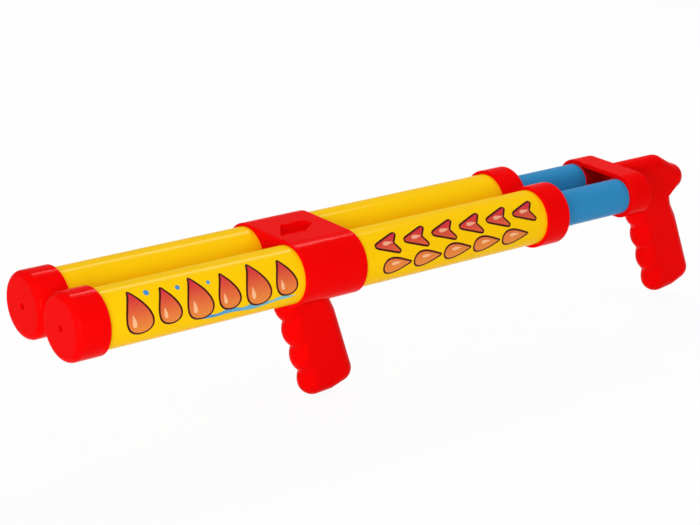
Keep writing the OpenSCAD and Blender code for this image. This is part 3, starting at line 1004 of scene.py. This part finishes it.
def plastic(name, colour, deep, gloss, shine, peel_mm, peel_height, drawn=1.0):
    material, shader = new_finish(name)
    place = add(material, "ShaderNodeTexCoord")
    stretch = add(material, "ShaderNodeMapping", {"Scale": (drawn, 1.0, 1.0)},
                  {"Vector": place.outputs["Object"]})
    cloud = add(material, "ShaderNodeTexNoise", {"Scale": 1 / (PIGMENT_MM * MM), "Detail": 2.0},
                {"Vector": stretch.outputs["Vector"]})
    tint = add(material, "ShaderNodeMix", {"A": linear(colour), "B": linear(deep)},
               {"Factor": cloud.outputs["Fac"]}, data_type="RGBA")
    peel = add(material, "ShaderNodeTexNoise", {"Scale": 1 / (peel_mm * MM), "Detail": 3.0},
               {"Vector": stretch.outputs["Vector"]})
    sheen = add(material, "ShaderNodeMapRange",
                {"To Min": gloss - GLOSS_LESS, "To Max": gloss + GLOSS_MORE},
                {"Value": peel.outputs["Fac"]})
    bump = add(material, "ShaderNodeBump", {"Strength": PEEL_STRENGTH, "Distance": peel_height * MM},
               {"Height": peel.outputs["Fac"]})
    links = material.node_tree.links
    links.new(tint.outputs["Result"], shader.inputs["Base Color"])
    links.new(sheen.outputs["Result"], shader.inputs["Roughness"])
    links.new(bump.outputs["Normal"], shader.inputs["Normal"])
    shader.inputs["IOR"].default_value = PLASTIC_IOR
    shader.inputs["Specular IOR Level"].default_value = shine
    return material


# %% [markdown]
# The red is moulded ABS: a strong even colour with a thin gloss that shows as narrow streaks of
# light. The yellow and blue are extruded PVC tube with faint draw lines, and the blue is a little
# softer in its gloss. The white is natural polypropylene, and the seals are greased rubber. The
# coloured plastics get only a little shine, because the white floor mirrored in them would wash
# their colours out.

# %% Plastics
red = plastic("moulded red ABS", "#f80606", "#ee0405",
              gloss=0.15, shine=0.01, peel_mm=1.1, peel_height=0.012)
yellow = plastic("extruded yellow PVC", "#ffcd0b", "#fdc808",
                 gloss=0.15, shine=0.012, peel_mm=1.4, peel_height=0.01, drawn=0.03)
blue = plastic("extruded blue PVC", "#338ec5", "#2f88be",
               gloss=0.26, shine=0.03, peel_mm=1.2, peel_height=0.01, drawn=0.03)
white = plastic("moulded white polypropylene", "#e8e8e4", "#dededa",
                gloss=0.45, shine=0.4, peel_mm=1.2, peel_height=0.02)
rubber = plastic("greased nitrile rubber", "#1c1c1d", "#161617",
                 gloss=0.5, shine=0.4, peel_mm=0.8, peel_height=0.02)
print("plastics:", [m.name for m in (red, yellow, blue, white, rubber)])

# %% [markdown]
# The yoke's red is a copy of the other red that turns deeper where the faces are marked as the
# well. That deeper red is painted shade, matched so that the hollow between the rods reads about
# as dark as it does in the photograph.

# %% Red of the yoke
yoke_red_painted_shade = red.copy()
yoke_red_painted_shade.name = "moulded red ABS with painted shade in the well"
yoke_red_shader = yoke_red_painted_shade.node_tree.nodes["Principled BSDF"]
outside = yoke_red_shader.inputs["Base Color"].links[0].from_socket
marked = add(yoke_red_painted_shade, "ShaderNodeAttribute", attribute_name="well")
# The deeper red mixed in here is painted shade for the well.
both = add(yoke_red_painted_shade, "ShaderNodeMix", {"B": linear("#b40404")},
           {"Factor": marked.outputs["Fac"], "A": outside}, data_type="RGBA")
yoke_red_painted_shade.node_tree.links.new(both.outputs["Result"], yoke_red_shader.inputs["Base Color"])
print("nodes of the yoke's red:", len(yoke_red_painted_shade.node_tree.nodes))

# %% [markdown]
# ### Zinc-plated steel
# Screws of this kind are zinc plated: a cool grey metal, not quite mirror bright, with a fine
# mottle where the plating lies uneven.

# %% Steel
MOTTLE_MM = 0.7
BRIGHT, DULL = 0.22, 0.4
steel, steel_shader = new_finish("zinc-plated steel")
steel_shader.inputs["Metallic"].default_value = 1.0
spot = add(steel, "ShaderNodeTexCoord")
mottle = add(steel, "ShaderNodeTexNoise", {"Scale": 1 / (MOTTLE_MM * MM), "Detail": 3.0},
             {"Vector": spot.outputs["Object"]})
grey = add(steel, "ShaderNodeMix", {"A": linear("#c9cbce"), "B": linear("#b4b7bb")},
           {"Factor": mottle.outputs["Fac"]}, data_type="RGBA")
worn = add(steel, "ShaderNodeMapRange", {"To Min": BRIGHT, "To Max": DULL},
           {"Value": mottle.outputs["Fac"]})
steel.node_tree.links.new(grey.outputs["Result"], steel_shader.inputs["Base Color"])
steel.node_tree.links.new(worn.outputs["Result"], steel_shader.inputs["Roughness"])
print("steel nodes:", len(steel.node_tree.nodes))

# %% [markdown]
# ### Printing inks
# The inks are screen printed, so each is one even film, less glossy than the tube, with a slight
# mottle. A ramp blends its two colours along one axis, and the mottle shifts the ramp a little.

# %% Ink recipe
SPECK_MM = 2.5
SPECK_SHIFT = 0.06
INK_ROUGHNESS, INK_SHINE = 0.4, 0.1


def ink(name, stops, axis, span):
    material, shader = new_finish(name)
    place = add(material, "ShaderNodeTexCoord")
    split = add(material, "ShaderNodeSeparateXYZ", {}, {"Vector": place.outputs["Object"]})
    run = add(material, "ShaderNodeMapRange", {"From Min": span[0], "From Max": span[1]},
              {"Value": split.outputs[axis]})
    speck = add(material, "ShaderNodeTexNoise", {"Scale": 1 / (SPECK_MM * MM), "Detail": 2.0},
                {"Vector": place.outputs["Object"]})
    shift = add(material, "ShaderNodeMapRange", {"To Min": -SPECK_SHIFT, "To Max": SPECK_SHIFT},
                {"Value": speck.outputs["Fac"]})
    mixed = add(material, "ShaderNodeMath", {},
                {0: run.outputs["Result"], 1: shift.outputs["Result"]})
    ramp = add(material, "ShaderNodeValToRGB", {}, {"Fac": mixed.outputs["Value"]})
    for point, colour in zip(ramp.color_ramp.elements, stops):
        point.color = linear(colour)
    material.node_tree.links.new(ramp.outputs["Color"], shader.inputs["Base Color"])
    shader.inputs["Roughness"].default_value = INK_ROUGHNESS
    shader.inputs["Specular IOR Level"].default_value = INK_SHINE
    return material


# %% [markdown]
# The fill runs from orange to red with height, and the blue from deep to pale along the barrel.
# The outline is a dark maroon, and the glints are pale.

# %% Four inks
FADE_LOW, FADE_HIGH = -5.0, 17.0
BLUE_DEEP, BLUE_PALE = 90.0, 166.0

height = (at_z(FADE_LOW), at_z(FADE_HIGH))
length = (at_x(BLUE_DEEP), at_x(BLUE_PALE))
fill_ink = ink("red over orange ink", ("#ea8a3a", "#d3203a"), "Z", height)
line_ink = ink("maroon ink", ("#4e1511", "#3c0d0e"), "Z", height)
ripple_ink = ink("blue ink", ("#3a8fc6", "#7fc8cf"), "X", length)
glint_ink = ink("pale peach ink", ("#f8c08a", "#f2a488"), "Z", height)
print("inks:", [m.name for m in (fill_ink, line_ink, ripple_ink, glint_ink)])

# %% [markdown]
# ## Dressing the frame
# Each piece gets its finish, rides on the body that it belongs to, and stands for its solid. The
# print stands for no solid: it lies on the left barrel.

# %% Ride and replace


def dress(piece, material, body, node):
    piece.data.materials.clear()
    piece.data.materials.append(material)
    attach(piece, body)
    if node:
        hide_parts(node)


for side in SIDES:
    dress(barrels[side], yellow, "barrels", side + "_barrel")
    dress(caps[side], red, "barrels", side + "_nozzle_cap")
    dress(collars[side], red, "barrels", side + "_rear_collar")
    dress(rods[side], blue, "pump", side + "_pump_rod")
    dress(halves["front_grip_" + side], red, "barrels", "front_grip_" + side)
    dress(halves["rear_grip_" + side], red, "pump", "rear_grip_" + side)
dress(saddle, red, "barrels", "saddle")
dress(yoke, yoke_red_painted_shade, "pump", "yoke")
for node, body in (("front_grip_screws", "barrels"), ("saddle_bolt", "barrels"),
                   ("rear_grip_screws", "pump"), ("rod_screws", "pump"), ("yoke_screws", "pump")):
    dress(screws[node], steel, body, node)
for title, material in (("print_ripple", ripple_ink), ("print_outline", line_ink),
                        ("print_fill", fill_ink), ("print_glint", glint_ink)):
    dress(prints[title], material, "barrels", None)
print("pieces dressed")

# %% [markdown]
# The pistons, their seals and the nut are inside, and their solids are good as they are. They only
# get a finish.

# %% Finish the inner solids
for node, material in (("left_piston", white), ("right_piston", white), ("left_piston_seal", rubber),
                       ("right_piston_seal", rubber), ("saddle_nut", steel)):
    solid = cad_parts[node]
    solid.data.materials.clear()
    solid.data.materials.append(material)
print("inner solids finished")

# %% [markdown]
# ## Floor
# The floor is a large pale sheet. For the camera, and for what mirrors it, it is mixed with plain
# white, so that the background is clean and the shadow stays soft.

# %% Floor
FLOOR_SIZE, FLOOR_DROP = 12.0, 0.0005
PAPER_ROUGHNESS = 0.9
WHITE_PART = 0.94
clear()
bpy.ops.mesh.primitive_plane_add(size=FLOOR_SIZE, location=(0, 0, -FLOOR_DROP))
floor = bpy.context.object
floor.name = "floor"
paper, paper_shader = new_finish("white paper")
paper_shader.inputs["Base Color"].default_value = linear("#f4f4f4")
paper_shader.inputs["Roughness"].default_value = PAPER_ROUGHNESS
paper_shader.inputs["Specular IOR Level"].default_value = 0.0
glow = add(paper, "ShaderNodeEmission", {"Color": (1, 1, 1, 1), "Strength": 1.0})
rays = add(paper, "ShaderNodeLightPath")
seen = add(paper, "ShaderNodeMath", {},
           {0: rays.outputs["Is Camera Ray"], 1: rays.outputs["Is Glossy Ray"]}, operation="MAXIMUM")
seen = add(paper, "ShaderNodeMath", {},
           {0: seen.outputs["Value"], 1: rays.outputs["Is Transmission Ray"]}, operation="MAXIMUM")
part = add(paper, "ShaderNodeMath", {1: WHITE_PART}, {0: seen.outputs["Value"]}, operation="MULTIPLY")
blend = add(paper, "ShaderNodeMixShader", {},
            {0: part.outputs["Value"], 1: paper_shader.outputs["BSDF"], 2: glow.outputs["Emission"]})
surface = paper.node_tree.nodes["Material Output"].inputs["Surface"]
paper.node_tree.links.new(blend.outputs["Shader"], surface)
floor.data.materials.append(paper)
print("floor of", FLOOR_SIZE, "m")

# %% [markdown]
# ## Light
# The light is an even room with a broad soft lamp from the front left and a weaker one above. A
# narrow bright window behind on the right draws the streak of light along the top of the tubes.
# Places and sizes are in metres.

# %% Light
ROOM_LIGHT = 0.47
room = bpy.data.worlds.new("room")
room.use_nodes = True
room.node_tree.nodes["Background"].inputs["Color"].default_value = (1, 1, 1, 1)
room.node_tree.nodes["Background"].inputs["Strength"].default_value = ROOM_LIGHT
bpy.context.scene.world = room


def soft_lamp(name, place, target, size, watts):
    lamp = bpy.data.lights.new(name, "AREA")
    lamp.shape = "RECTANGLE"
    lamp.size, lamp.size_y = size
    lamp.energy = watts
    holder = bpy.data.objects.new(name, lamp)
    holder.location = place
    holder.rotation_euler = (Vector(target) - Vector(place)).to_track_quat("-Z", "Y").to_euler()
    bpy.context.scene.collection.objects.link(holder)


soft_lamp("overhead", place=(-0.15, -0.25, 1.5), target=(0, 0, 0.1), size=(1.4, 0.8), watts=3.0)
soft_lamp("from the front left", place=(-1.4, -1.2, 0.45), target=(-0.2, 0, 0.08),
          size=(0.9, 0.8), watts=17.5)
soft_lamp("window", place=(0.68, 0.78, 1.23), target=(-0.2, 0, 0.1), size=(0.55, 0.17), watts=8.5)
bpy.context.scene.view_settings.view_transform = "Standard"
